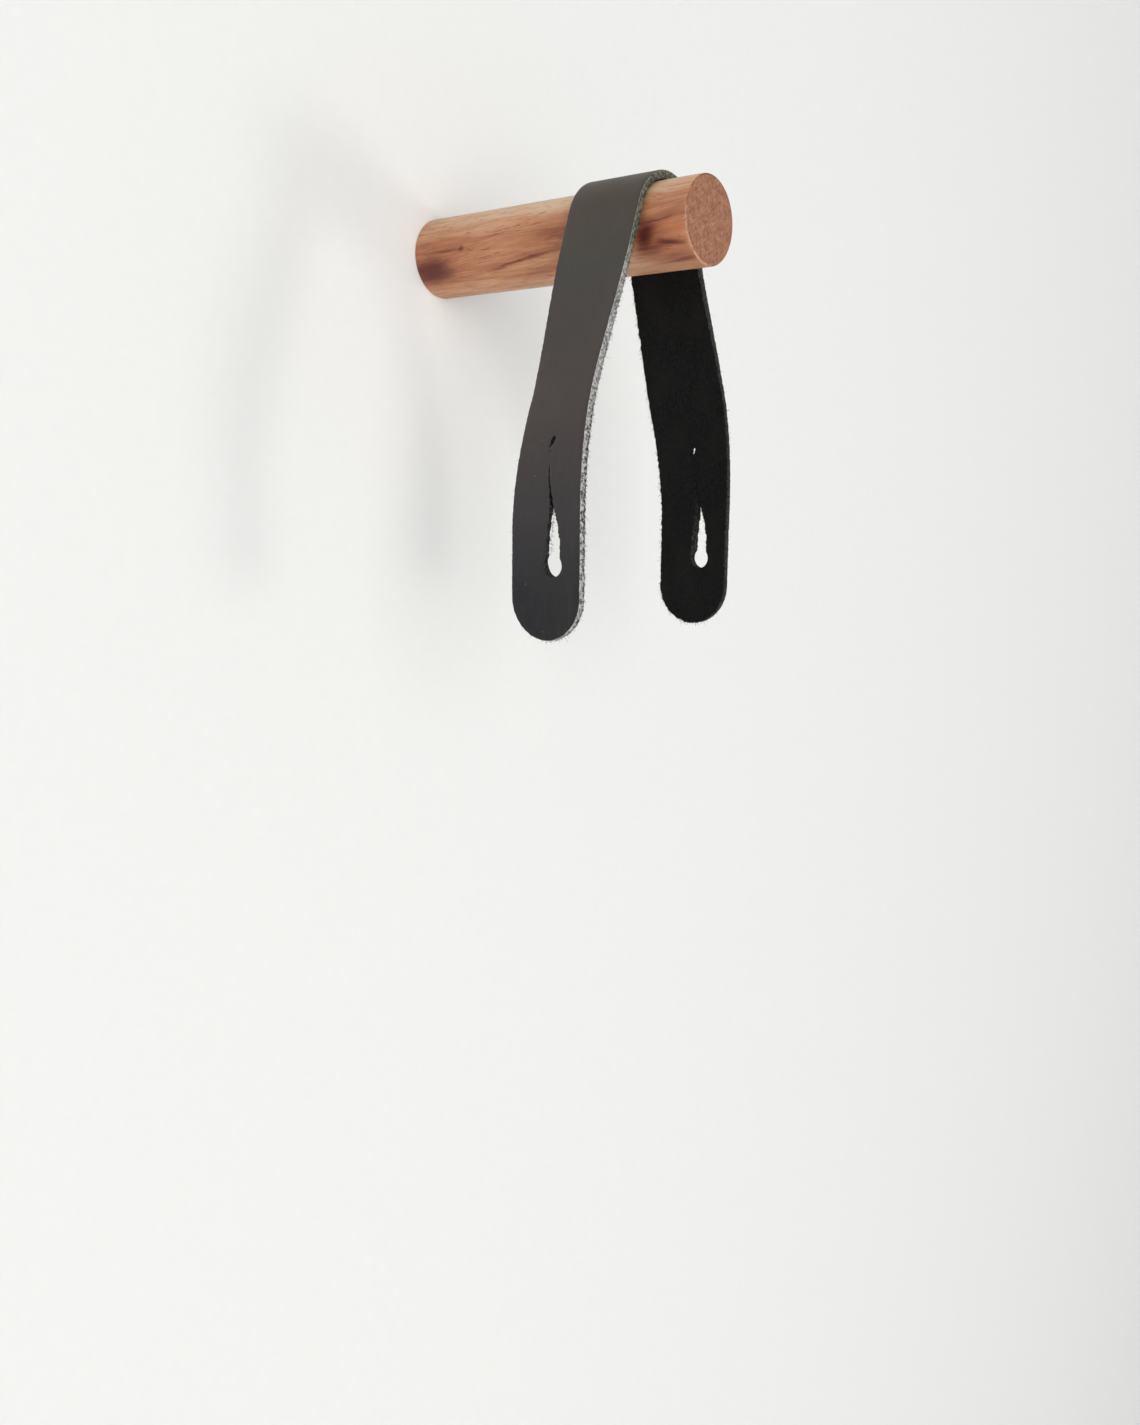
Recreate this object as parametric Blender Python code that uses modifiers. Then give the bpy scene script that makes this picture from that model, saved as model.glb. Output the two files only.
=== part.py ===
"""Wall guitar hanger: a round wooden peg on a hidden hanger bolt, with a leather strap folded over it.

Metres, +Z up. The origin is on the peg's axis, at the surface of the wall. The room is towards -Y, and
the bolt and its plug go into the wall, towards +Y. A headstock hangs between the two legs of the strap,
and the shaft of one tuner on each side goes through the hole near the end of each leg.
"""

import math

import bmesh
import bpy

MM = 0.001

# Clearances
TOUCH_GAP = 0.3 * MM  # between two pieces that bear on each other
FLEX_GAP = 0.3 * MM  # across the strap's outer face, where a leg flexes
FLEX_RELIEF_DEG = 18.0  # how far the end of the saddle is cut back, so that a leg can swing inwards

# Peg, turned from one round bar
PEG_RADIUS = 12.5 * MM
PEG_LENGTH = 105.0 * MM
PEG_FRONT_ROUND = 0.6 * MM
PEG_BACK_ROUND = 0.5 * MM
BORE_MOUTH_CHAMFER = 0.6 * MM
DRILL_POINT_DEG = 59.0

# Threaded insert, screwed into the back of the peg
INSERT_RECESS = 1.0 * MM
INSERT_LENGTH = 13.0 * MM
INSERT_WALL = 1.1 * MM  # from the bore to the root of the outer thread
INSERT_THREAD_DEPTH = 0.8 * MM
INSERT_PITCH = 2.6 * MM
INSERT_DRIVE_CORNER = 0.6 * MM  # how far the corners of the driving hexagon reach past the bore
INSERT_DRIVE_DEPTH = 3.5 * MM

# Hanger bolt, with a machine thread in the peg and a wood thread in the wall
BOLT_CREST_RADIUS = 3.0 * MM
BOLT_SHANK_RADIUS = 2.8 * MM
BOLT_END_CHAMFER = 0.6 * MM
MACHINE_THREAD_LENGTH = 18.0 * MM
MACHINE_THREAD_DEPTH = 0.55 * MM
MACHINE_THREAD_PITCH = 1.0 * MM
SHANK_LENGTH = 4.0 * MM
WOOD_THREAD_LENGTH = 26.0 * MM
WOOD_THREAD_DEPTH = 0.85 * MM
WOOD_THREAD_PITCH = 2.6 * MM
BOLT_POINT_LENGTH = 6.0 * MM
BOLT_POINT_RADIUS = 0.5 * MM

# Wall plug
PLUG_LENGTH = 40.0 * MM
PLUG_WALL = 1.7 * MM
PLUG_BARB_DEPTH = 0.5 * MM
PLUG_BARB_PITCH = 3.5 * MM
PLUG_COLLAR_WIDTH = 1.0 * MM
PLUG_COLLAR_THICKNESS = 1.0 * MM
PLUG_SLOT_WIDTH = 1.2 * MM
PLUG_SLOT_LENGTH = 26.0 * MM

# Strap, one flat strip of leather
STRAP_WIDTH = 25.0 * MM
STRAP_THICKNESS = 2.5 * MM
STRAP_CENTRE = 78.0 * MM  # from the wall to the middle of the strap
SPLAY_DEG = 19.0  # the slant of each leg where it leaves the peg
FLEX_RUN = 10.5 * MM  # from where the strap leaves the peg to where a leg flexes
STRAIGHT_RUN = 57.6 * MM  # from where the strap leaves the peg to the start of the bend
BEND_RADIUS = 112.0 * MM  # the bend that brings the end of the leg upright
UPRIGHT_RUN = 32.3 * MM  # from the end of the bend to the tip
TOE_OUT = 2.4 * MM  # how far the front edge stands out past the middle, at most
SHAFT_HOLE_RADIUS = 3.25 * MM
SHAFT_HOLE_FROM_TIP = 21.5 * MM
SHAFT_HOLE_FORWARD = 2.8 * MM  # from the middle of the strap towards its front edge
SLIT_LENGTH = 36.0 * MM
SLIT_TOP_WIDTH = 0.5 * MM
SLIT_FOOT_WIDTH = 4.0 * MM
SLIT_HOLE_RADIUS = 1.75 * MM

# How finely round things are divided
PEG_SIDES = 72
BOLT_SIDES = 24
HOLE_SIDES = 32
ARC_STEPS = 28
ROUND_STEPS = 4
TIP_STEPS = 10
ROW_SPACING = 3.0 * MM
STRAP_COLUMNS = 8
CUT_MARGIN = 2.0 * MM  # how far a cutter reaches past what it cuts
MERGE = 0.00001
TURN_MARGIN = 1e-6  # so that a length of whole turns keeps its last turn
THREAD_CREST_START = 0.35  # share of the pitch where a thread's crest starts
THREAD_CREST_END = 0.65

SIDES = {"left": -1, "right": 1}

MATERIALS = {  # colour, roughness, metallic
    "walnut": ((0.33, 0.15, 0.09), 0.5, 0.0),
    "brass": ((0.72, 0.52, 0.22), 0.35, 1.0),
    "zinc_steel": ((0.62, 0.63, 0.65), 0.35, 1.0),
    "nylon": ((0.62, 0.63, 0.62), 0.55, 0.0),
    "leather": ((0.045, 0.042, 0.045), 0.6, 0.0),
}


def clear_scene():
    for obj in list(bpy.data.objects):
        bpy.data.objects.remove(obj)


def new_collection(name):
    collection = bpy.data.collections.new(name)
    bpy.context.scene.collection.children.link(collection)
    return collection


def material(name, colour, roughness, metallic):
    made = bpy.data.materials.new(name)
    made.use_nodes = True
    shader = made.node_tree.nodes["Principled BSDF"]
    shader.inputs["Base Color"].default_value = (*colour, 1.0)
    shader.inputs["Roughness"].default_value = roughness
    shader.inputs["Metallic"].default_value = metallic
    made.diffuse_color = (*colour, 1.0)
    return made


def add_object(name, data, collection, finish=None):
    obj = bpy.data.objects.new(name, data)
    collection.objects.link(obj)
    if finish:
        data.materials.append(bpy.data.materials[finish])
    return obj


def add_joint(name, location, parent, collection):
    """An empty on a joint's axis, which carries what moves with that joint."""
    empty = add_object(name, None, collection)
    empty.empty_display_size = PEG_RADIUS
    empty.location = location
    empty.parent = parent
    return empty


def hold_on(obj, joint, centre):
    """Parents obj to a joint's empty and leaves it where it is. centre is the empty's place."""
    obj.parent = joint
    obj.location = [at - of for at, of in zip(obj.location, centre)]


def arc(centre, radius, start_deg, end_deg, steps):
    """Points along an arc, both ends included. Angles run from +first axis towards +second axis."""
    for step in range(steps + 1):
        turn = math.radians(start_deg + (end_deg - start_deg) * step / steps)
        yield centre[0] + radius * math.cos(turn), centre[1] + radius * math.sin(turn)


# Turned pieces: a profile of (radius, distance out from the wall), with the room end first


def turned(name, profile, sides, finish, collection, closed=False):
    """A solid turned about the peg's axis. closed joins the last point to the first, for a tube."""
    count = len(profile)
    edges = [(at, at + 1) for at in range(count - 1)]
    if closed:
        edges.append((count - 1, 0))
    mesh = bpy.data.meshes.new(name)
    mesh.from_pydata([(radius, 0.0, out) for radius, out in profile], edges, [])
    obj = add_object(name, mesh, collection, finish)
    obj.rotation_euler = (math.radians(90.0), 0.0, 0.0)  # local +Z points out into the room
    screw = obj.modifiers.new("Turn", "SCREW")
    screw.axis = "Z"
    screw.angle = math.tau
    screw.steps = screw.render_steps = sides
    screw.use_merge_vertices = True
    screw.merge_threshold = MERGE
    screw.use_smooth_shade = False
    return obj


def thread(crest, root, start, length, pitch):
    """Zigzag points of a thread's side, from start towards the wall, with whole turns only."""
    turns = int(length / pitch + TURN_MARGIN)
    for turn in range(turns):
        top = start - turn * pitch
        yield root, top
        yield crest, top - THREAD_CREST_START * pitch
        yield crest, top - THREAD_CREST_END * pitch
    yield root, start - turns * pitch


def bolt_clearance():
    return BOLT_CREST_RADIUS + TOUCH_GAP


def insert_span():
    """The insert's two ends, as distances out from the wall: its inner end and its mouth."""
    return INSERT_RECESS + INSERT_LENGTH, INSERT_RECESS


def insert_radii():
    """The radii of the root and the crest of the insert's outer thread."""
    root = bolt_clearance() + INSERT_WALL
    return root, root + INSERT_THREAD_DEPTH


def wood_peg(collection):
    bore = insert_radii()[1] + TOUCH_GAP
    bore_end = insert_span()[0] + TOUCH_GAP
    pilot = bolt_clearance()
    pilot_end = max(MACHINE_THREAD_LENGTH + TOUCH_GAP, bore_end) + CUT_MARGIN
    drill_point = pilot / math.tan(math.radians(DRILL_POINT_DEG))
    front = (PEG_RADIUS - PEG_FRONT_ROUND, PEG_LENGTH - PEG_FRONT_ROUND)
    back = (PEG_RADIUS - PEG_BACK_ROUND, PEG_BACK_ROUND)
    profile = [
        (0.0, PEG_LENGTH),
        *arc(front, PEG_FRONT_ROUND, 90.0, 0.0, ROUND_STEPS),
        *arc(back, PEG_BACK_ROUND, 0.0, -90.0, ROUND_STEPS),
        (bore + BORE_MOUTH_CHAMFER, 0.0),
        (bore, BORE_MOUTH_CHAMFER),
        (bore, bore_end),
        (pilot, bore_end),
        (pilot, pilot_end),
        (0.0, pilot_end + drill_point),
    ]
    return turned("wood_peg", profile, PEG_SIDES, "walnut", collection)


def threaded_insert(collection, cutters):
    inner_end, mouth = insert_span()
    bore = bolt_clearance()
    root, crest = insert_radii()
    side = list(thread(crest, root, inner_end, INSERT_LENGTH, INSERT_PITCH))
    profile = [(bore, inner_end), *side]
    if side[-1][1] > mouth + MERGE:
        profile.append((root, mouth))
    profile.append((bore, mouth))
    obj = turned("threaded_insert", profile, BOLT_SIDES, "brass", collection, closed=True)
    depth = INSERT_DRIVE_DEPTH + CUT_MARGIN
    corner = bore + INSERT_DRIVE_CORNER
    hexagon = round_cutter("insert_drive_cutter", corner, depth, 6, cutters)
    hexagon.rotation_euler = (math.radians(90.0), 0.0, 0.0)
    hexagon.location = (0.0, -(mouth + INSERT_DRIVE_DEPTH - depth / 2), 0.0)
    cut(obj, hexagon)
    return obj


def hanger_bolt(collection):
    crest = BOLT_CREST_RADIUS
    wood_root = crest - WOOD_THREAD_DEPTH
    machine_root = crest - MACHINE_THREAD_DEPTH
    top = MACHINE_THREAD_LENGTH
    machine_start = top - BOLT_END_CHAMFER
    machine_run = machine_start - SHANK_LENGTH / 2
    machine = thread(crest, machine_root, machine_start, machine_run, MACHINE_THREAD_PITCH)
    shank_end = -SHANK_LENGTH / 2
    wood = list(thread(crest, wood_root, shank_end, WOOD_THREAD_LENGTH, WOOD_THREAD_PITCH))
    wood_end = wood[-1][1]
    profile = [
        (0.0, top),
        (machine_root - BOLT_END_CHAMFER / 2, top),
        *machine,
        (BOLT_SHANK_RADIUS, SHANK_LENGTH / 2),
        (BOLT_SHANK_RADIUS, shank_end),
        *wood,
        (BOLT_POINT_RADIUS, wood_end - BOLT_POINT_LENGTH),
        (0.0, wood_end - BOLT_POINT_LENGTH - BOLT_POINT_RADIUS),
    ]
    return turned("hanger_bolt", profile, BOLT_SIDES, "zinc_steel", collection)


def wall_plug(collection, cutters):
    bore = bolt_clearance()
    body = bore + PLUG_WALL
    collar_end = -TOUCH_GAP - PLUG_COLLAR_THICKNESS
    tip = -TOUCH_GAP - PLUG_LENGTH
    profile = [
        (bore, -TOUCH_GAP),
        (body + PLUG_COLLAR_WIDTH, -TOUCH_GAP),
        (body + PLUG_COLLAR_WIDTH, collar_end),
        (body - PLUG_BARB_DEPTH, collar_end),
    ]
    barbs = int((collar_end - tip) / PLUG_BARB_PITCH)
    for barb in range(1, barbs):
        foot = collar_end - barb * PLUG_BARB_PITCH
        profile += [(body, foot + PLUG_BARB_PITCH / 2), (body - PLUG_BARB_DEPTH, foot)]
    profile += [(body - PLUG_BARB_DEPTH, tip), (bore, tip)]
    obj = turned("wall_plug", profile, BOLT_SIDES, "nylon", collection, closed=True)
    reach = PLUG_SLOT_LENGTH + CUT_MARGIN
    for name, size in (
        ("plug_slot_cutter_x", (4 * body, PLUG_SLOT_WIDTH)),
        ("plug_slot_cutter_z", (PLUG_SLOT_WIDTH, 4 * body)),
    ):
        slot = box_cutter(name, (size[0], reach, size[1]), cutters)
        slot.location = (0.0, -tip - PLUG_SLOT_LENGTH + reach / 2, 0.0)
        cut(obj, slot)
    return obj


# Cutters


def as_cutter(obj):
    obj.hide_render = True
    obj.display_type = "WIRE"
    return obj


def round_cutter(name, radius, depth, sides, cutters):
    shape = bmesh.new()
    bmesh.ops.create_cone(
        shape, cap_ends=True, segments=sides, radius1=radius, radius2=radius, depth=depth
    )
    mesh = bpy.data.meshes.new(name)
    shape.to_mesh(mesh)
    shape.free()
    return as_cutter(add_object(name, mesh, cutters))


def box_cutter(name, size, cutters):
    shape = bmesh.new()
    bmesh.ops.create_cube(shape, size=1.0)
    bmesh.ops.scale(shape, vec=size, verts=shape.verts)
    mesh = bpy.data.meshes.new(name)
    shape.to_mesh(mesh)
    shape.free()
    return as_cutter(add_object(name, mesh, cutters))


def cut(obj, cutter):
    boolean = obj.modifiers.new(cutter.name, "BOOLEAN")
    boolean.operation = "DIFFERENCE"
    boolean.solver = "EXACT"
    boolean.object = cutter


# The strap: its outer face is a path in the XZ plane, carried across the width


def saddle_radius():
    """The radius of the strap's outer face over the peg."""
    return PEG_RADIUS + TOUCH_GAP + STRAP_THICKNESS


def outer_path(run):
    """Where the right leg's outer face is, run metres after it leaves the peg.

    Gives x, z and the slant from upright in radians: a straight run at the full splay, then an arc that
    brings the leg upright, then an upright run.
    """
    splay = math.radians(SPLAY_DEG)
    x = saddle_radius() * math.cos(splay)
    z = saddle_radius() * math.sin(splay)
    straight = min(run, STRAIGHT_RUN)
    x += straight * math.sin(splay)
    z -= straight * math.cos(splay)
    bend = min(max(run - STRAIGHT_RUN, 0.0), BEND_RADIUS * splay)
    slant = splay - bend / BEND_RADIUS
    x += BEND_RADIUS * (math.cos(slant) - math.cos(splay))
    z -= BEND_RADIUS * (math.sin(splay) - math.sin(slant))
    z -= max(run - STRAIGHT_RUN - BEND_RADIUS * splay, 0.0)
    return x, z, slant


def leg_run():
    """The run from where the strap leaves the peg to the tip of a leg."""
    return STRAIGHT_RUN + BEND_RADIUS * math.radians(SPLAY_DEG) + UPRIGHT_RUN


def flex_point():
    """The axis that a right leg flexes about: on the outer face, FLEX_RUN past the peg."""
    return outer_path(FLEX_RUN)[:2]


def ease(value):
    value = min(max(value, 0.0), 1.0)
    return value * value * (3.0 - 2.0 * value)


def toe_out(run):
    """The twist of a leg: none where it flexes, most at the bend, and none at the shaft hole."""
    hole_run = leg_run() - SHAFT_HOLE_FROM_TIP
    if run < STRAIGHT_RUN:
        return TOE_OUT * ease((run - FLEX_RUN) / (STRAIGHT_RUN - FLEX_RUN))
    return TOE_OUT * ease((hole_run - 2 * SHAFT_HOLE_RADIUS - run) / (hole_run - STRAIGHT_RUN))


def strap_saddle(collection):
    """The middle of the strap, over the peg and on down to where each leg flexes."""
    half = math.radians(90.0 - SPLAY_DEG)
    outer = saddle_radius()
    inner = outer - STRAP_THICKNESS
    steps = [half * (2 * step / ARC_STEPS - 1) for step in range(ARC_STEPS + 1)]
    points = [(outer * math.sin(turn), outer * math.cos(turn)) for turn in steps]
    relief = STRAP_THICKNESS * math.tan(math.radians(FLEX_RELIEF_DEG))
    end_run = FLEX_RUN - FLEX_GAP / 2
    x, z, slant = outer_path(end_run)
    points.append((x, z))
    x, z, slant = outer_path(end_run - relief)
    points.append((x - STRAP_THICKNESS * math.cos(slant), z - STRAP_THICKNESS * math.sin(slant)))
    points += [(inner * math.sin(turn), inner * math.cos(turn)) for turn in reversed(steps)]
    outline = points + [(-x, z) for x, z in points[ARC_STEPS + 1 : ARC_STEPS + 3][::-1]]
    curve = bpy.data.curves.new("strap_saddle", "CURVE")
    curve.dimensions = "2D"
    curve.fill_mode = "BOTH"
    curve.extrude = STRAP_WIDTH / 2
    spline = curve.splines.new("POLY")
    spline.points.add(len(outline) - 1)
    for point, (x, z) in zip(spline.points, outline):
        point.co = (x, z, 0.0, 1.0)
    spline.use_cyclic_u = True
    obj = add_object("strap_saddle", curve, collection, "leather")
    obj.rotation_euler = (math.radians(90.0), 0.0, 0.0)
    obj.location = (0.0, -STRAP_CENTRE, 0.0)
    return obj


def leg_rows():
    """(run, half width) of each row across a leg, from where it flexes to its round tip."""
    half = STRAP_WIDTH / 2
    start = FLEX_RUN + FLEX_GAP / 2
    tip_start = leg_run() - half
    count = math.ceil((tip_start - start) / ROW_SPACING)
    for row in range(count):
        yield start + (tip_start - start) * row / count, half
    for step in range(TIP_STEPS):
        turn = math.radians(90.0) * step / TIP_STEPS
        yield tip_start + half * math.sin(turn), half * math.cos(turn)


def strap_leg(side_name, collection, cutters):
    """One leg: a flat grid laid along the outer path, thickened inwards, with its hole and slit cut."""
    side = SIDES[side_name]
    name = f"strap_{side_name}_leg"
    rows = list(leg_rows())
    sheet = bmesh.new()
    bmesh.ops.create_grid(sheet, x_segments=STRAP_COLUMNS, y_segments=len(rows) - 1, size=1.0)
    for vertex in sheet.verts:
        across = vertex.co.x
        run, half = rows[round((vertex.co.y + 1.0) / 2.0 * (len(rows) - 1))]
        x, z, slant = outer_path(run)
        forward = across * half
        out = toe_out(run) * forward / (STRAP_WIDTH / 2)
        x += out * math.cos(slant)
        z += out * math.sin(slant)
        vertex.co = (side * x, -STRAP_CENTRE - forward, z)
    if side < 0:
        bmesh.ops.reverse_faces(sheet, faces=sheet.faces)
    mesh = bpy.data.meshes.new(name)
    sheet.to_mesh(mesh)
    sheet.free()
    obj = add_object(name, mesh, collection, "leather")
    solid = obj.modifiers.new("Thickness", "SOLIDIFY")
    solid.thickness = STRAP_THICKNESS
    solid.offset = -1.0
    solid.use_even_offset = True
    for cutter in leg_cutters(side_name, cutters):
        cut(obj, cutter)
    return obj


def leg_cutters(side_name, cutters):
    """The shaft hole, the slit above it and the small hole that ends the slit, all cut straight along X.

    The small hole is on the middle of the strap, and the slit leans forward to the shaft hole below it.
    """
    side = SIDES[side_name]
    hole_x, hole_z, _ = outer_path(leg_run() - SHAFT_HOLE_FROM_TIP)
    top_z = hole_z + SLIT_LENGTH
    depth = 2 * hole_x
    for name, radius, forward, z in (
        ("shaft_hole_cutter", SHAFT_HOLE_RADIUS, SHAFT_HOLE_FORWARD, hole_z),
        ("slit_hole_cutter", SLIT_HOLE_RADIUS, 0.0, top_z),
    ):
        hole = round_cutter(f"{side_name}_{name}", radius, depth, HOLE_SIDES, cutters)
        hole.rotation_euler = (0.0, math.radians(90.0), 0.0)
        hole.location = (side * hole_x, -STRAP_CENTRE - forward, z)
        yield hole
    slit = box_cutter(f"{side_name}_slit_cutter", (depth, 1.0, 1.0), cutters)
    for vertex in slit.data.vertices:
        upper = vertex.co.z > 0
        width = SLIT_TOP_WIDTH if upper else SLIT_FOOT_WIDTH
        forward = 0.0 if upper else SHAFT_HOLE_FORWARD
        vertex.co.y = math.copysign(width / 2, vertex.co.y) - forward
        vertex.co.z = top_z if upper else hole_z
    slit.location = (side * hole_x, -STRAP_CENTRE, 0.0)
    yield slit


def main():
    clear_scene()
    hanger = new_collection("wall_guitar_hanger")
    cutters = new_collection("cutters")
    for name, (colour, roughness, metallic) in MATERIALS.items():
        material(name, colour, roughness, metallic)

    wood_peg(hanger)
    threaded_insert(hanger, cutters)
    hanger_bolt(hanger)
    wall_plug(hanger, cutters)

    on_peg = (0.0, -STRAP_CENTRE, 0.0)
    slide = add_joint("strap_slide_axis", on_peg, None, hanger)
    hold_on(strap_saddle(hanger), slide, on_peg)
    x, z = flex_point()
    for side_name, side in SIDES.items():
        flex = add_joint(f"{side_name}_leg_flex_axis", (side * x, 0.0, z), slide, hanger)
        hold_on(strap_leg(side_name, hanger, cutters), flex, (side * x, -STRAP_CENTRE, z))


main()
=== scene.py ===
import math

import bmesh
import bpy
import numpy as np
from mathutils import Matrix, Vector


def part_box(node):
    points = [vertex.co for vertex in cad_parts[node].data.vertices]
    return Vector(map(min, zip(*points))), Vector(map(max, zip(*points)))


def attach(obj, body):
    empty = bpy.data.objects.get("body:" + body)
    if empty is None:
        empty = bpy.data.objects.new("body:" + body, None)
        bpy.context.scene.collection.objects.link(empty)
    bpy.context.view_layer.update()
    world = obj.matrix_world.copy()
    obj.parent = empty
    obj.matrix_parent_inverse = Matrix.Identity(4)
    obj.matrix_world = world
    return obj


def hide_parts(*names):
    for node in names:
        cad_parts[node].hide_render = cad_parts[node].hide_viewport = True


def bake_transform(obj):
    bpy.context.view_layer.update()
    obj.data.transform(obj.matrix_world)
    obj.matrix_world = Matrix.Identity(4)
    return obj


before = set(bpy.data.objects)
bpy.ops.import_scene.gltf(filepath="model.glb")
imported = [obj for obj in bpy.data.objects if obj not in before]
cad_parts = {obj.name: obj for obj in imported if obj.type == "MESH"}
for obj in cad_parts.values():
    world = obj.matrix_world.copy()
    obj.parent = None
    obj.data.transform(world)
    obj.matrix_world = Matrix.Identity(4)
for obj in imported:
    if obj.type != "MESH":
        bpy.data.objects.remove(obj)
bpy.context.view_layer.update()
mm = 0.001
print("frame loaded,", len(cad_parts), "nodes")


cameraSetup = {
    "place": (-0.3200, -0.3102, -0.0780),
    "heading": 51.60,  # degrees from straight at the wall, turned to the right
    "pitch": -9.51,
    "roll": 0.64,
    "lens": 32.24,
}


def makeCamera():
    data = bpy.data.cameras.new("camera")
    data.lens = cameraSetup["lens"]
    camera = bpy.data.objects.new("camera", data)
    bpy.context.scene.collection.objects.link(camera)
    turn = Matrix.Rotation(math.radians(-cameraSetup["heading"]), 4, "Z")
    tilt = Matrix.Rotation(math.radians(90.0 + cameraSetup["pitch"]), 4, "X")
    roll = Matrix.Rotation(math.radians(cameraSetup["roll"]), 4, "Z")
    camera.matrix_world = Matrix.Translation(cameraSetup["place"]) @ turn @ tilt @ roll
    bpy.context.scene.camera = camera
    print("camera set")


# A mesh from points (n, 3) and a list of face arrays (count, corners). Points closer than weld become
# one, and the faces are turned to point outwards.
def meshFromArrays(name, points, faces, attributes=None, finishes=None, weld=1e-7, sharp=35.0):
    mesh = bpy.data.meshes.new(name)
    corners = np.concatenate([group.reshape(-1) for group in faces]).astype(np.int32)
    sizes = np.concatenate([np.full(len(group), group.shape[1]) for group in faces]).astype(np.int32)
    starts = np.concatenate([[0], np.cumsum(sizes)[:-1]]).astype(np.int32)
    mesh.vertices.add(len(points))
    mesh.vertices.foreach_set("co", points.astype(np.float32).reshape(-1))
    mesh.loops.add(len(corners))
    mesh.loops.foreach_set("vertex_index", corners)
    mesh.polygons.add(len(sizes))
    mesh.polygons.foreach_set("loop_start", starts)
    if finishes is not None:
        mesh.polygons.foreach_set("material_index", finishes.astype(np.int32))
    for key, values in (attributes or {}).items():
        mesh.attributes.new(key, "FLOAT", "POINT").data.foreach_set("value", values.astype(np.float32))
    mesh.update(calc_edges=True)
    mesh.validate()
    work = bmesh.new()
    work.from_mesh(mesh)
    bmesh.ops.remove_doubles(work, verts=work.verts, dist=weld)
    loose = [vertex for vertex in work.verts if not vertex.link_faces]
    bmesh.ops.delete(work, geom=loose, context="VERTS")
    bmesh.ops.recalc_face_normals(work, faces=work.faces)
    work.to_mesh(mesh)
    work.free()
    mesh.shade_smooth()
    mesh.set_sharp_from_angle(angle=math.radians(sharp))
    return mesh


# Links a finished mesh as a piece that stands for CAD nodes, hides them, and gives it the materials passed
# in.
def addPiece(name, mesh, materials, nodes):
    piece = bpy.data.objects.new(name, mesh)
    bpy.context.scene.collection.objects.link(piece)
    for material in materials:
        mesh.materials.append(material)
    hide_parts(*nodes)
    print(name, "made,", len(mesh.polygons), "faces")
    return piece


# Corner indices of the quads of a grid of rows by columns, stored row by row.
def gridQuads(rows, columns, wrapColumns=False):
    last = columns if wrapColumns else columns - 1
    row, column = np.meshgrid(np.arange(rows - 1), np.arange(last), indexing="ij")
    after = (column + 1) % columns
    quads = np.stack([row * columns + column, row * columns + after,
                      (row + 1) * columns + after, (row + 1) * columns + column], axis=-1)
    return quads.reshape(-1, 4)


# Points of an arc: centre + radius * (cos, sin) of evenly spaced angles, in degrees.
def arcPoints(centre, radius, start, end, steps):
    angle = np.radians(np.linspace(start, end, steps))
    return np.stack([centre[0] + radius * np.cos(angle), centre[1] + radius * np.sin(angle)], axis=1)


# A profile turned about the peg's axis: x = r cos, z = r sin, y = -out. The radius may be one value
# for each profile point, or an array (points, sides) for threads and sockets.
def revolve(radius, out, sides):
    angle = np.linspace(0.0, math.tau, sides, endpoint=False)
    radius = np.broadcast_to(np.asarray(radius).reshape(len(out), -1), (len(out), sides))
    return np.stack([radius * np.cos(angle), np.broadcast_to(-out[:, None], radius.shape),
                     radius * np.sin(angle)], axis=-1)


def smoothStep(value):
    value = np.clip(value, 0.0, 1.0)
    return value * value * (3.0 - 2.0 * value)


# A smooth random field over points in mm: a sum of sine waves with random directions, and with wave
# numbers from coarse to fine in radians per mm.
def waveNoise(points, seed, count, coarse, fine):
    random = np.random.default_rng(seed)
    direction = random.normal(size=(count, 3))
    direction *= (random.uniform(coarse, fine, count) / np.linalg.norm(direction, axis=1))[:, None]
    phase = random.uniform(0.0, math.tau, count)
    total = np.zeros(points.shape[:-1])
    for wave, start in zip(direction, phase):
        total += np.sin(points @ wave + start)
    return total / math.sqrt(count)


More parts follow.
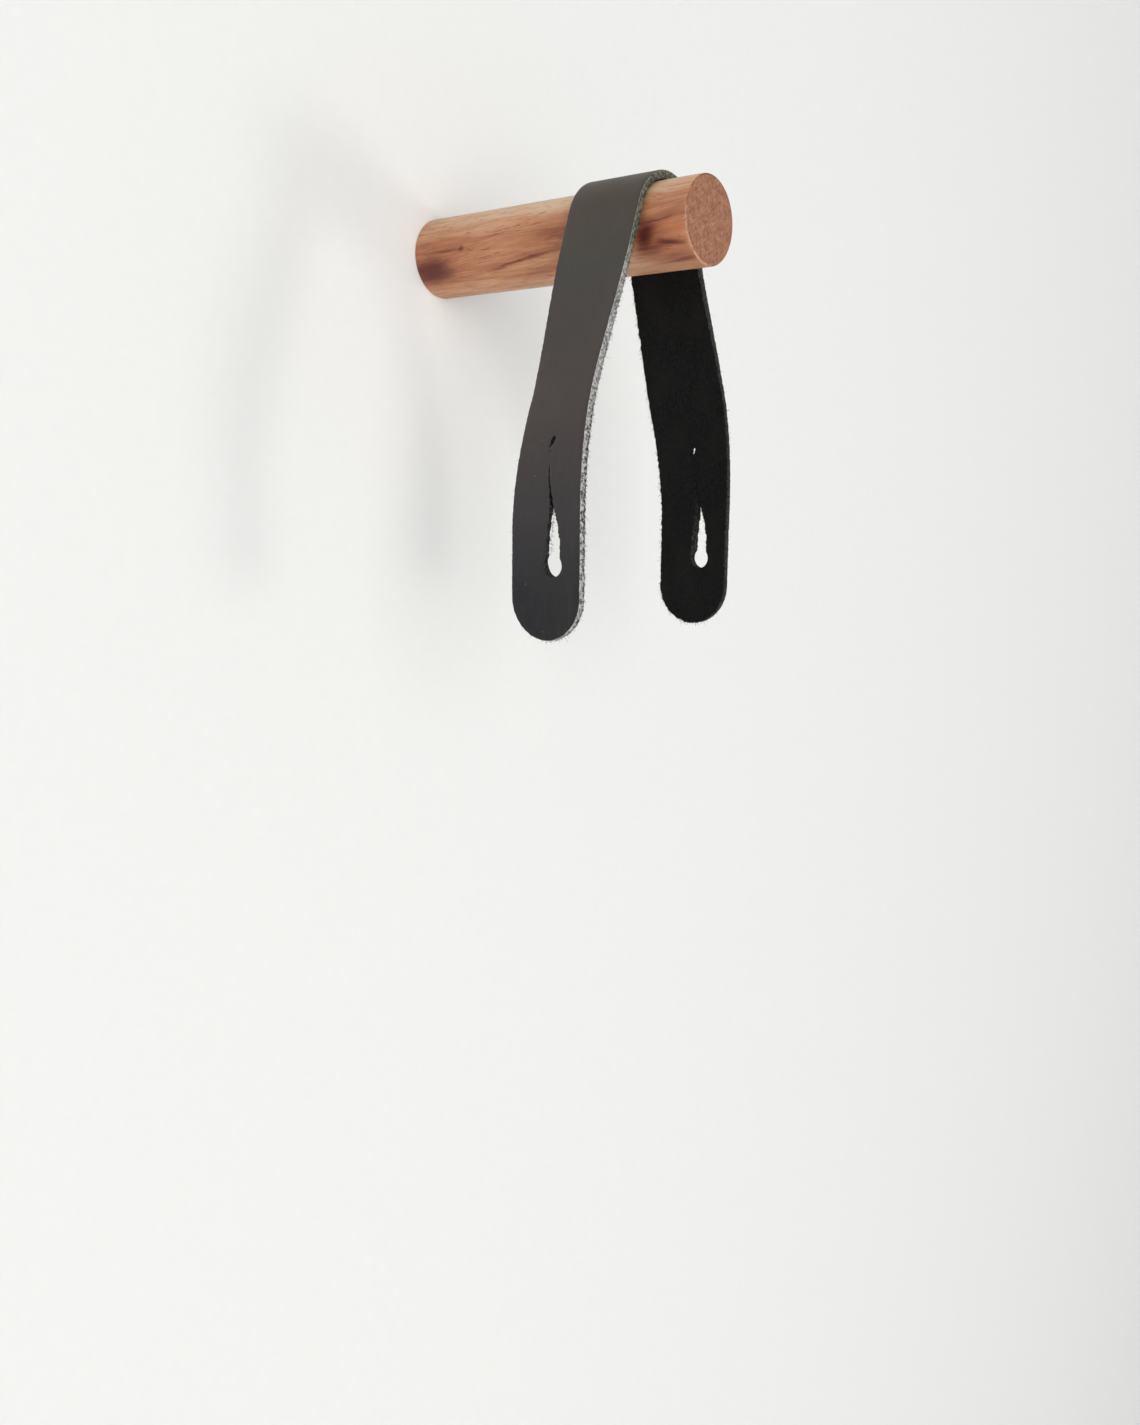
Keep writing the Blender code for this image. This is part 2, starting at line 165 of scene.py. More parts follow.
# Short calls for a material's node tree: a value or a socket goes into each named input.
class Nodes:
    def __init__(self, name, roughness, metallic=0.0, specular=0.5):
        self.material = bpy.data.materials.new(name)
        self.material.use_nodes = True
        self.tree = self.material.node_tree
        self.shader = self.tree.nodes["Principled BSDF"]
        self.shader.inputs["Roughness"].default_value = roughness
        self.shader.inputs["Metallic"].default_value = metallic
        self.shader.inputs["Specular IOR Level"].default_value = specular

    def put(self, socket, value):
        if isinstance(value, bpy.types.NodeSocket):
            self.tree.links.new(value, socket)
        elif hasattr(socket.default_value, "__len__"):
            size = len(socket.default_value)
            parts = (*value, 1.0) if hasattr(value, "__len__") else (value,) * size
            socket.default_value = parts[:size]
        else:
            socket.default_value = value

    def node(self, kind, inputs, output=0, **settings):
        made = self.tree.nodes.new(kind)
        for key, value in settings.items():
            setattr(made, key, value)
        for key, value in inputs.items():
            self.put(made.inputs[key], value)
        return made.outputs[output]

    # Object coordinates in mm times scale, so scale is in cycles per mm.
    def place(self, scale, turn=(0.0, 0.0, 0.0), shift=(0.0, 0.0, 0.0)):
        coordinates = self.node("ShaderNodeTexCoord", {}, "Object")
        return self.node("ShaderNodeMapping", {
            "Vector": coordinates, "Location": shift, "Rotation": [math.radians(t) for t in turn],
            "Scale": [value / mm for value in scale]})

    def scaled(self, vector, scale):
        return self.node("ShaderNodeVectorMath", {0: vector, 1: scale}, operation="MULTIPLY")

    def noise(self, vector, detail=3.0, rough=0.5):
        return self.node("ShaderNodeTexNoise", {"Vector": vector, "Scale": 1.0, "Detail": detail,
                                                "Roughness": rough}, "Fac")

    def cells(self, vector):
        return self.node("ShaderNodeTexVoronoi", {"Vector": vector, "Scale": 1.0}, "Distance")

    # value between low and high, made start to end, smooth at both ends
    def ramp(self, value, low, high, start=0.0, end=1.0):
        return self.node("ShaderNodeMapRange", {"Value": value, "From Min": low, "From Max": high,
                                                "To Min": start, "To Max": end}, 0,
                         interpolation_type="SMOOTHSTEP")

    def math(self, operation, first, second=0.0, third=0.0):
        return self.node("ShaderNodeMath", {0: first, 1: second, 2: third}, 0, operation=operation)

    def sum(self, *values):
        total = values[0]
        for value in values[1:]:
            total = self.math("ADD", total, value)
        return total

    def mix(self, factor, first, second):
        made = self.tree.nodes.new("ShaderNodeMix")
        made.data_type = "RGBA"
        self.put(made.inputs[0], factor)
        self.put(made.inputs[6], first)
        self.put(made.inputs[7], second)
        return made.outputs[2]

    # a colour for each level of value, given as (level, colour) pairs
    def shades(self, value, pairs):
        made = self.tree.nodes.new("ShaderNodeValToRGB")
        self.put(made.inputs[0], value)
        stops = made.color_ramp.elements
        for index, (level, colour) in enumerate(pairs):
            stop = stops[index] if index < 2 else stops.new(level)
            stop.position = level
            stop.color = (*colour, 1.0)
        return made.outputs[0]

    def attribute(self, name):
        return self.node("ShaderNodeAttribute", {}, "Fac", attribute_name=name)

    # 1 along the middle of an ellipse on the vector's plane, easing to 0 at its edge
    def patch(self, vector, centre, tilt, half):
        local = self.node("ShaderNodeMapping", {
            "Vector": vector, "Location": (*centre, 0.0), "Rotation": (0.0, 0.0, math.radians(tilt)),
            "Scale": (*half, 1.0)}, vector_type="TEXTURE")
        distance = self.node("ShaderNodeVectorMath", {0: local}, "Value", operation="LENGTH")
        return self.ramp(distance, 1.0, 0.0)

    def bump(self, height, distance, strength=1.0):
        normal = self.node("ShaderNodeBump", {"Height": height, "Distance": distance, "Strength": strength})
        self.put(self.shader.inputs["Normal"], normal)

    def colour(self, value):
        self.put(self.shader.inputs["Base Color"], value)

    def roughness(self, value):
        self.put(self.shader.inputs["Roughness"], value)


pegLow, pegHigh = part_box("wood_peg")
pegSizes = {
    "radius": pegHigh[0],
    "length": -pegLow[1],
    "frontRound": 0.6 * mm,
    "backRound": 0.5 * mm,
    "bore": 5.5 * mm,
    "boreDepth": 14.3 * mm,
    "pilot": 3.3 * mm,
    "pilotDepth": 20.3 * mm,
    "drillPoint": 2.0 * mm,
    "boreChamfer": 0.5 * mm,
    "roundPoints": 7,
    "sides": 256,
}

# Marks of the figure, some of them painted light and shade: distance out from the wall in mm, degrees
# up from the left side's middle line, tilt in degrees (rising towards the front), half length and half
# width in mm, change of tone.
pegFigureAndPaintedLight = [
    # a dark patch low down near the wall: partly darker wood, partly painted shade where the peg meets the
    # wall
    (7.0, -28.0, 3.0, 13.0, 5.2, -0.42),
    (12.0, -3.5, 0.0, 15.0, 0.9, -0.26),
    (20.5, -2.0, 8.0, 1.7, 1.3, -0.34),
    (26.0, -14.0, 3.0, 15.0, 4.0, -0.12),
    (43.0, -31.0, 7.0, 23.0, 0.9, -0.34),
    (44.0, -27.0, 7.0, 20.0, 2.6, -0.10),
    (34.0, 10.0, 2.6, 10.0, 0.45, -0.20),
    (50.0, 15.0, 2.6, 9.0, 0.45, -0.20),
    (29.0, -51.0, 3.0, 12.0, 0.6, -0.16),
    (20.0, -62.0, 2.0, 10.0, 2.2, -0.12),
    (97.0, -2.0, 6.0, 7.0, 0.6, -0.20),
    # two dark patches beside the strap's front edge: painted shade where the strap sits on the peg
    (90.5, -24.0, 50.0, 7.0, 3.4, -0.46),
    (91.0, -42.0, 10.0, 9.0, 3.2, -0.34),
    (52.0, -52.0, 4.0, 22.0, 4.5, -0.16),
    (58.0, -8.0, 4.0, 10.0, 4.5, -0.10),
    (99.0, -33.0, -14.0, 7.5, 1.6, -0.40),
    (100.0, -62.0, 6.0, 11.0, 1.2, -0.34),
    (97.0, -50.0, 4.0, 14.0, 6.5, -0.26),
    (95.0, -12.0, 0.0, 16.0, 9.0, -0.13),
    (97.0, -84.0, 3.0, 13.0, 2.0, 0.18),
    # a broad lighter band over the upper side: painted light from above
    (60.0, 60.0, 0.0, 80.0, 8.5, 0.27),
]


def woodMaterial():
    n = Nodes("oiledWood", 0.46, specular=0.34)
    wander = n.noise(n.place((0.055, 0.012, 0.055), shift=(3.0, 1.0, 7.0)), 2.0)
    bend = n.math("MULTIPLY", n.math("SUBTRACT", wander, 0.5), 9.0)
    # the grain runs along the peg, rising by about 3 degrees towards its front end
    mapped = n.node("ShaderNodeVectorMath", {
        0: n.place((1.0, 1.0, 1.0), turn=(3.0, 0.0, 0.0)),
        1: n.node("ShaderNodeCombineXYZ", {"X": bend, "Z": bend})}, operation="ADD")
    broad = n.noise(n.scaled(mapped, (0.15, 0.020, 0.15)), 2.0)
    lines = n.noise(n.scaled(mapped, (0.75, 0.028, 0.75)), 4.0, 0.55)
    fibres = n.noise(n.scaled(mapped, (3.2, 0.16, 3.2)), 3.0, 0.6)
    dashes = n.noise(n.scaled(mapped, (2.6, 0.24, 2.6)), 1.0, 0.3)
    parts = n.node("ShaderNodeSeparateXYZ", {0: mapped}, 2)
    tone = n.sum(
        n.ramp(broad, 0.30, 0.70, 0.46, 0.70),
        # lighter towards the top of the peg, painted light from above, and lighter along the very bottom, a
        # painted reflection of the wall
        n.ramp(parts, -2.5, 6.5, 0.0, 0.24),
        n.ramp(parts, -8.0, -10.5, 0.0, 0.14),
        n.ramp(lines, 0.34, 0.64, 0.06, -0.08),
        n.ramp(fibres, 0.30, 0.70, 0.045, -0.045))
    # distance out from the wall and distance round the surface, both in mm
    position = n.node("ShaderNodeSeparateXYZ", {0: n.place((1.0, 1.0, 1.0))}, 0)
    axes = position.node.outputs
    around = n.math("MULTIPLY", n.math("ARCTAN2", axes[2], n.math("MULTIPLY", axes[0], -1.0)),
                    pegSizes["radius"] / mm)
    jitter = n.math("MULTIPLY", n.math("SUBTRACT", n.noise(n.place((0.35, 0.07, 0.35)), 3.0), 0.5), 2.6)
    surface = n.node("ShaderNodeCombineXYZ", {"X": n.math("MULTIPLY", axes[1], -1.0),
                                              "Y": n.math("ADD", around, jitter)})
    for out, rise, tilt, length, width, change in pegFigureAndPaintedLight:
        spot = n.patch(surface, (out, math.radians(rise) * pegSizes["radius"] / mm), tilt, (length, width))
        tone = n.math("MULTIPLY_ADD", spot, change, tone)
    # darker towards the wall: painted shade where the peg meets it
    tone = n.math("ADD", tone, n.ramp(axes[1], -2.0, -34.0, -0.13, 0.0))
    side = n.shades(tone, [(0.0, (0.128, 0.029, 0.017)), (0.25, (0.250, 0.074, 0.039)),
                           (0.50, (0.458, 0.181, 0.087)), (0.75, (0.622, 0.322, 0.174)),
                           (1.0, (0.750, 0.512, 0.328))])
    glow = n.patch(surface, (100.5, -3.2), 0.0, (7.5, 3.4))
    side = n.mix(n.math("MULTIPLY", glow, 0.62), side, (0.600, 0.225, 0.088))
    reddened = n.math("MULTIPLY", n.patch(surface, (98.0, -8.0), 0.0, (14.0, 7.0)), 0.8)
    side = n.mix(reddened, side, n.scaled(side, (0.97, 0.82, 0.80)))
    pores = n.math("MULTIPLY", n.ramp(dashes, 0.64, 0.72), n.ramp(broad, 0.35, 0.60, 0.20, 0.58))
    side = n.mix(pores, side, (0.130, 0.050, 0.032))
    # end grain: soft mottling, short strokes that lean to the right, and small pores
    mottle = n.noise(n.place((0.40, 0.40, 0.40)), 4.0, 0.6)
    leaning = n.node("ShaderNodeMapping", {
        "Vector": n.node("ShaderNodeMapping", {"Vector": n.place((1.0, 1.0, 1.0)),
                                               "Rotation": (0.0, math.radians(-38.0), 0.0)}),
        "Scale": (2.6, 1.0, 0.62)})
    short = n.noise(leaning, 3.0, 0.55)
    endTone = n.sum(n.ramp(mottle, 0.3, 0.7, 0.0, 0.36), n.ramp(short, 0.3, 0.7, 0.0, 0.64))
    end = n.shades(endTone, [(0.18, (0.225, 0.085, 0.047)), (0.5, (0.320, 0.137, 0.078)),
                             (0.82, (0.430, 0.206, 0.122))])
    flecks = n.cells(n.place((0.8, 0.8, 0.8)))
    end = n.mix(n.ramp(flecks, 0.15, 0.07, 0.0, 0.5), end, (0.160, 0.058, 0.036))
    # the turned rim is dark at the upper right and has a painted highlight at the lower left
    diagonal = n.math("ADD", axes[0], axes[2])
    rim = n.attribute("rim")
    rimHighlight = n.math("MULTIPLY", n.ramp(diagonal, -9.0, -14.0), n.ramp(short, 0.40, 0.55, 0.25, 0.9))
    end = n.mix(n.math("MULTIPLY", rim, rimHighlight), end, (0.560, 0.340, 0.220))
    end = n.mix(n.math("MULTIPLY", rim, n.ramp(diagonal, 3.0, 12.0, 0.0, 0.85)), end, (0.095, 0.040, 0.027))
    endGrain = n.attribute("endGrain")
    n.colour(n.mix(endGrain, side, end))
    n.roughness(n.math("ADD", n.ramp(fibres, 0.3, 0.7, 0.40, 0.52), n.math("MULTIPLY", endGrain, 0.12)))
    height = n.sum(n.math("MULTIPLY", fibres, 0.5), n.math("MULTIPLY", pores, -1.0),
                   n.math("MULTIPLY", short, n.math("MULTIPLY", endGrain, 0.5)))
    n.bump(height, 0.05 * mm, 0.5)
    return n.material


# A profile of radius against distance out from the wall, turned about the axis.
def makePeg():
    s = pegSizes
    frontCentre = s["radius"] - s["frontRound"], s["length"] - s["frontRound"]
    backCentre = s["radius"] - s["backRound"], s["backRound"]
    front = arcPoints(frontCentre, s["frontRound"], 90, 0, s["roundPoints"])
    back = arcPoints(backCentre, s["backRound"], 0, -90, s["roundPoints"])
    faceRings = np.linspace(0.0, front[0, 0], 9)[:-1]
    sideRings = np.linspace(s["length"] - s["frontRound"], s["backRound"], 60)[1:-1]
    profile = np.concatenate([
        np.stack([faceRings, np.full(len(faceRings), s["length"])], axis=1),
        front,
        np.stack([np.full(len(sideRings), s["radius"]), sideRings], axis=1),
        back,
        [(s["bore"] + s["boreChamfer"], 0.0), (s["bore"], s["boreChamfer"]), (s["bore"], s["boreDepth"]),
         (s["pilot"], s["boreDepth"]), (s["pilot"], s["pilotDepth"]),
         (0.0, s["pilotDepth"] + s["drillPoint"])],
    ])
    points = revolve(profile[:, 0], profile[:, 1], s["sides"])
    # end grain reaches to the middle of each rounding, and the rim lies round the middle of the front one
    middle = s["roundPoints"] // 2
    endGrain = np.zeros(len(profile))
    endGrain[: len(faceRings) + middle + 1] = 1.0
    endGrain[len(faceRings) + len(front) + len(sideRings) + middle:] = 1.0
    rim = np.zeros(len(profile))
    rim[len(faceRings) + 1: len(faceRings) + middle + 2] = 1.0
    mesh = meshFromArrays("peg", points.reshape(-1, 3), [gridQuads(len(profile), s["sides"], True)],
                          {"endGrain": np.repeat(endGrain, s["sides"]), "rim": np.repeat(rim, s["sides"])})
    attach(addPiece("peg", mesh, [woodMaterial()], ["wood_peg"]), "peg")


# One tooth over phase 0 to 1: a flat root, a straight rise, a narrow crest and a straight fall.
def threadTooth(phase):
    return np.clip(1.6 - np.abs(phase % 1.0 - 0.5) * 4.0, 0.0, 1.0)


# The phase of a right-hand thread at each height and angle: out / pitch - angle / turn.
def helix(out, pitch, sides):
    angle = np.linspace(0.0, 1.0, sides, endpoint=False)
    return out[:, None] / pitch - angle[None, :]


boltSizes = {
    "crest": 3.0 * mm,
    "shank": 2.8 * mm,
    "machineEnd": 18.0 * mm,
    "machineDepth": 0.5 * mm,
    "machinePitch": 1.0 * mm,
    "machineFade": 0.8 * mm,  # how far the thread takes to reach its full depth
    "machineStep": 0.1 * mm,
    "chamfer": 0.7 * mm,
    "shankStart": 2.0 * mm,
    "shankEnd": -2.0 * mm,
    "woodEnd": -28.0 * mm,
    "woodDepth": 0.85 * mm,
    "woodPitch": 2.6 * mm,
    "woodFade": 1.5 * mm,
    "woodStep": 0.2 * mm,
    "pointEnd": -34.3 * mm,
    "sides": 64,
}


def steelMaterial():
    n = Nodes("zincSteel", 0.32, metallic=1.0)
    cloud = n.noise(n.place((0.26, 0.26, 0.26)), 4.0)
    n.colour(n.mix(n.ramp(cloud, 0.35, 0.65), (0.50, 0.52, 0.55), (0.70, 0.71, 0.72)))
    fine = n.noise(n.place((2.5, 9.0, 2.5)), 2.0)
    n.roughness(n.ramp(fine, 0.3, 0.7, 0.26, 0.42))
    n.bump(fine, 0.01 * mm, 0.5)
    return n.material


# radius = root + depth * tooth(phase), where root and depth fade in and out along the bolt.
def makeBolt():
    s = boltSizes
    out = np.concatenate([np.arange(s["machineEnd"], s["shankEnd"], -s["machineStep"]),
                          np.arange(s["shankEnd"], s["pointEnd"], -s["woodStep"]), [s["pointEnd"]]])
    onMachine = smoothStep((out - s["shankStart"]) / s["machineFade"])
    machine = onMachine * smoothStep((s["machineEnd"] - out) / s["chamfer"]) * s["machineDepth"]
    wood = smoothStep((s["shankEnd"] - out) / s["woodFade"])
    taper = np.sqrt(np.clip((out - s["pointEnd"]) / (s["woodEnd"] - s["pointEnd"]), 0.0, 1.0))
    machineRoot = s["shank"] + onMachine * (s["crest"] - s["machineDepth"] - s["shank"])
    woodRoot = s["shank"] + wood * (s["crest"] - s["woodDepth"] - s["shank"])
    root = np.where(out > 0, machineRoot, woodRoot) * taper
    machineTooth = threadTooth(helix(out, s["machinePitch"], s["sides"]))
    woodTooth = threadTooth(helix(out, s["woodPitch"], s["sides"]))
    radius = (root[:, None] + machine[:, None] * machineTooth
              + (wood * s["woodDepth"] * taper)[:, None] * woodTooth)
    radius = np.concatenate([np.zeros((1, s["sides"])), radius])
    out = np.concatenate([out[:1], out])
    mesh = meshFromArrays("hangerBolt", revolve(radius, out, s["sides"]).reshape(-1, 3),
                          [gridQuads(len(out), s["sides"], True)])
    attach(addPiece("hangerBolt", mesh, [steelMaterial()], ["hanger_bolt"]), "peg")


insertSizes = {
    "inner": 14.0 * mm,
    "mouth": 1.0 * mm,
    "crest": 5.2 * mm,
    "root": 4.4 * mm,
    "pitch": 2.6 * mm,
    "fade": 1.0 * mm,  # how far the outer thread takes to reach its full height
    "threadStep": 0.15 * mm,
    "bore": 3.3 * mm,
    "boreDepth": 0.25 * mm,
    "borePitch": 1.0 * mm,
    "socketFlats": 3.4 * mm,
    "socketEnd": 4.5 * mm,
    "socketStep": 0.4 * mm,
    "sides": 96,
}


def brassMaterial():
    n = Nodes("turnedBrass", 0.3, metallic=1.0)
    cloud = n.noise(n.place((0.3, 0.3, 0.3)), 3.0)
    n.colour(n.mix(n.ramp(cloud, 0.35, 0.7), (0.60, 0.41, 0.16), (0.78, 0.58, 0.27)))
    rings = n.noise(n.place((0.4, 12.0, 0.4)), 2.0)
    n.roughness(n.ramp(rings, 0.3, 0.7, 0.22, 0.4))
    n.bump(rings, 0.01 * mm, 0.5)
    return n.material


# The outside is a coarse thread, the inside a fine one with a hexagonal socket at the mouth, whose
# radius at an angle is flats / cos(angle from the middle of the nearest flat).
def makeInsert():
    s = insertSizes
    down = np.arange(s["inner"], s["mouth"], -s["threadStep"])
    ease = smoothStep((s["inner"] - down) / s["fade"]) * smoothStep((down - s["mouth"]) / s["fade"])
    tooth = threadTooth(helix(down, s["pitch"], s["sides"]))
    outer = s["root"] + (ease * (s["crest"] - s["root"]))[:, None] * tooth
    up = np.concatenate([np.arange(s["mouth"], s["socketEnd"], s["socketStep"]),
                         np.arange(s["socketEnd"], s["inner"], s["threadStep"])])
    sixth = math.tau / 6
    angle = np.linspace(0.0, math.tau, s["sides"], endpoint=False) % sixth - sixth / 2
    socket = np.broadcast_to(s["socketFlats"] / np.cos(angle), (len(up), s["sides"]))
    bore = s["bore"] + s["boreDepth"] * (1.0 - threadTooth(helix(up, s["borePitch"], s["sides"])))
    inner = np.where(up[:, None] < s["socketEnd"], socket, bore)
    radius = np.concatenate([outer, inner, outer[:1]])
    out = np.concatenate([down, up, down[:1]])
    mesh = meshFromArrays("threadedInsert", revolve(radius, out, s["sides"]).reshape(-1, 3),
                          [gridQuads(len(out), s["sides"], True)])
    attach(addPiece("threadedInsert", mesh, [brassMaterial()], ["threaded_insert"]), "peg")


plugSizes = {
    "mouth": -0.3 * mm,
    "collar": 6.0 * mm,
    "collarEnd": -1.3 * mm,
    "collarFall": 0.01 * mm,  # from the collar's face to where the body starts
    "lip": 0.2 * mm,  # bevel of the collar's two rims
    "body": 5.0 * mm,
    "barb": 0.5 * mm,
    "barbPitch": 3.5 * mm,
    "barbRise": 0.75,  # share of a barb's length that slopes
    "bore": 3.3 * mm,
    "tip": -40.3 * mm,
    "tipTaper": 1.5 * mm,
    "slotWidth": 1.2 * mm,
    "slotEnd": -14.3 * mm,
    "rowStep": 0.25 * mm,
    "columns": 22,
}


def nylonMaterial():
    n = Nodes("greyNylon", 0.5, specular=0.45)
    cloud = n.noise(n.place((0.14, 0.14, 0.14)), 3.0)
    n.colour(n.mix(n.ramp(cloud, 0.3, 0.7), (0.50, 0.51, 0.50), (0.60, 0.61, 0.60)))
    grain = n.noise(n.place((5.0, 5.0, 5.0)), 2.0)
    n.roughness(n.ramp(grain, 0.3, 0.7, 0.42, 0.58))
    n.bump(grain, 0.02 * mm, 0.5)
    return n.material


# Four fingers, each an outer and an inner arc carried along the plug. A finger's half angle is 45
# degrees less asin(half the slot / radius). The slot ends in a half circle, and above it the fingers
# meet in one tube.
def makePlug():
    s = plugSizes
    half = s["slotWidth"] / 2
    lip = s["lip"]
    slotRound = s["slotEnd"] - half + half * np.sin(np.radians(np.linspace(90, 0, 8)))
    out = np.concatenate([
        [s["mouth"], s["mouth"] - lip, s["collarEnd"] + lip, s["collarEnd"]],
        np.arange(s["collarEnd"] - s["collarFall"], s["slotEnd"], -s["rowStep"]),
        slotRound,
        np.arange(slotRound[-1] - s["rowStep"], s["tip"], -s["rowStep"]),
        [s["tip"]],
    ])
    saw = ((s["collarEnd"] - out) / s["barbPitch"]) % 1.0
    rise = s["barbRise"]
    fall = np.where(saw < rise, 1.0 - saw / rise, (saw - rise) / (1.0 - rise))
    outer = s["body"] - s["barb"] * fall
    outer[:4] = s["collar"] - lip * np.array([1.0, 0.0, 0.0, 1.0])
    outer -= s["barb"] * smoothStep((s["tip"] + s["tipTaper"] - out) / s["tipTaper"])
    below = np.clip((slotRound[0] - out) / half, 0.0, 1.0)
    gap = half * np.sqrt(1.0 - (1.0 - below) ** 2)
    across = np.linspace(-1.0, 1.0, s["columns"])
    middle = np.radians(45.0 + 90.0 * np.arange(4))[:, None, None]
    arcs = []
    for radius, order in ((outer, across), (np.full(len(out), s["bore"]), across[::-1])):
        angle = middle + (math.pi / 4 - np.arcsin(gap / radius))[None, :, None] * order
        arcs.append(np.stack([radius[None, :, None] * np.cos(angle),
                              np.broadcast_to(-out[None, :, None], angle.shape),
                              radius[None, :, None] * np.sin(angle)], axis=-1))
    loops = np.concatenate(arcs, axis=2)
    _, rows, count, _ = loops.shape
    columns = s["columns"]
    shut = gap < 1e-9
    keep = np.ones((rows - 1, count), bool)
    keep[np.ix_(shut[:-1] & shut[1:], [columns - 1, count - 1])] = False
    side = gridQuads(rows, count, True).reshape(rows - 1, count, 4)[keep]
    ring = np.arange(columns - 1)
    cap = np.stack([ring, ring + 1, count - 2 - ring, count - 1 - ring], axis=1)
    finger = np.concatenate([side, cap, cap[:, ::-1] + (rows - 1) * count])
    faces = np.concatenate([finger + index * rows * count for index in range(4)])
    mesh = meshFromArrays("wallPlug", loops.reshape(-1, 3), [faces], weld=2e-6)
    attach(addPiece("wallPlug", mesh, [nylonMaterial()], ["wall_plug"]), "peg")


saddleLow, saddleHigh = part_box("strap_saddle")
strapSizes = {
    "width": saddleHigh[1] - saddleLow[1],
    "thickness": 2.5 * mm,
    "centre": -(saddleHigh[1] + saddleLow[1]) / 2,  # from the wall
    "overPeg": saddleHigh[2],  # radius of the outer face on the peg
    "splay": 19.0,  # degrees
    "flexRun": 10.5 * mm,
    "straight": 57.6 * mm,
    "bendRadius": 112.0 * mm,
    "upright": 32.3 * mm,
    "toeOut": 2.4 * mm,
    "holeFromTip": 21.5 * mm,
    "holeRadius": 3.25 * mm,
    "holeForward": 2.8 * mm,
    "grainRound": 0.40 * mm,
    "fleshRound": 0.25 * mm,
    "rowStep": 0.32 * mm,
    "wallPoints": 7,
    "ragged": (0.04 * mm, 0.20 * mm),  # of the cut edge, near the peg and below it
    "raggedWaves": ((0.6, 5, 36, 1.0, 4.0), (0.6, 6, 36, 4.0, 8.0)),  # weights and waveNoise's inputs
    "raggedStretch": 1.6,  # of the waves through the thickness
    "raggedStart": -2.0 * mm,  # along the strap, and the next one how far it takes to grow
    "raggedEase": 16.0 * mm,
    "raggedAtGrain": 0.35,  # share of it that is left at the grain side
    "torn": 0.20 * mm,  # of the slit's lips
    "tornWaves": (11, 24, 1.5, 9.0),
    "tornWidth": 1.4 * mm,  # how wide the slit is where its lips are fully torn
    "tornEase": 0.8 * mm,  # how far it takes to fade out above the shaft hole
    "openWidth": 0.3 * mm,  # how wide the slit is where its lips are fully rounded
    "undercut": 1.0 * mm,  # how far the slit's rear wall slopes back by its flesh side
    "undercutStart": 86.0,  # mm along the strap, and the next one how far it takes to grow
    "undercutEase": 6.0,
    "fanRows": 130,  # round the shaft hole on each side
    "blendEnd": 26.0 * mm,  # how far past the flex a leg has fully turned
}

# The punched hole, a fleck and the slit, in mm: distance down from where the strap leaves the peg,
# the rear lip and the front lip, both measured forward from the middle line.
slitLips = np.array([
    (69.10, 0.85, 0.85), (69.40, 0.45, 1.30), (70.10, 0.02, 1.35), (70.90, -0.38, 1.02),
    (71.60, -0.66, 0.52), (72.15, -0.70, 0.04), (72.50, -0.40, -0.40), (73.20, -0.05, -0.05),
    (73.60, -0.12, 0.14), (74.00, 0.06, 0.06), (77.20, 0.34, 0.34), (78.60, 0.30, 0.52),
    (80.50, 0.44, 0.72), (82.50, 0.76, 1.16), (85.00, 1.20, 1.80), (87.50, 1.54, 2.48),
    (90.40, 1.66, 3.36), (93.00, 1.32, 4.20), (95.60, 0.98, 4.78), (98.00, 0.78, 5.16),
    (100.6, 0.62, 5.36), (104.0, 0.60, 5.40)])


# Distances along the strap from where it leaves the peg: the apex, the shaft hole and the tip.
def strapRuns():
    s = strapSizes
    splay = math.radians(s["splay"])
    apex = -(math.pi / 2 - splay) * s["overPeg"]
    tip = s["straight"] + s["bendRadius"] * splay + s["upright"]
    return apex, tip - s["holeFromTip"], tip


# The outer face seen along the peg: an arc over the peg, a straight run, a bend, an upright run.
def strapPath(run):
    s = strapSizes
    splay = math.radians(s["splay"])
    radius = s["overPeg"]
    around = splay - np.minimum(run, 0.0) / radius
    straight = np.clip(run, 0.0, s["straight"])
    slant = splay - np.clip(run - s["straight"], 0.0, s["bendRadius"] * splay) / s["bendRadius"]
    below = np.maximum(run - s["straight"] - s["bendRadius"] * splay, 0.0)
    x = (radius * np.cos(around) + straight * math.sin(splay)
         + s["bendRadius"] * (np.cos(slant) - math.cos(splay)))
    z = (radius * np.sin(around) - straight * math.cos(splay)
         - s["bendRadius"] * (math.sin(splay) - np.sin(slant)) - below)
    lean = np.where(run < 0.0, around, slant)
    return x, z, np.cos(lean), np.sin(lean)


# How far the front edge stands out: it eases in from the flex to the bend, and out to the hole.
def strapToe(run):
    s = strapSizes
    hole = strapRuns()[1]
    rising = smoothStep((run - s["flexRun"]) / (s["straight"] - s["flexRun"]))
    falling = smoothStep((hole - 2 * s["holeRadius"] - run) / (hole - s["straight"]))
    return s["toeOut"] * np.where(run < s["straight"], rising, falling)


# Plan to space: path(run) + toe-out * across - depth along the face's own normal.
def strapPlace(side, across, run, depth):
    s = strapSizes
    half = s["width"] / 2
    x, z, nx, nz = strapPath(run)
    toe = strapToe(run) / half
    length = np.sqrt(1.0 + toe * toe)
    outward = toe * across - depth / length
    return np.stack([side * (x + outward * nx), -s["centre"] - across - depth * toe / length,
                     z + outward * nz], axis=-1)


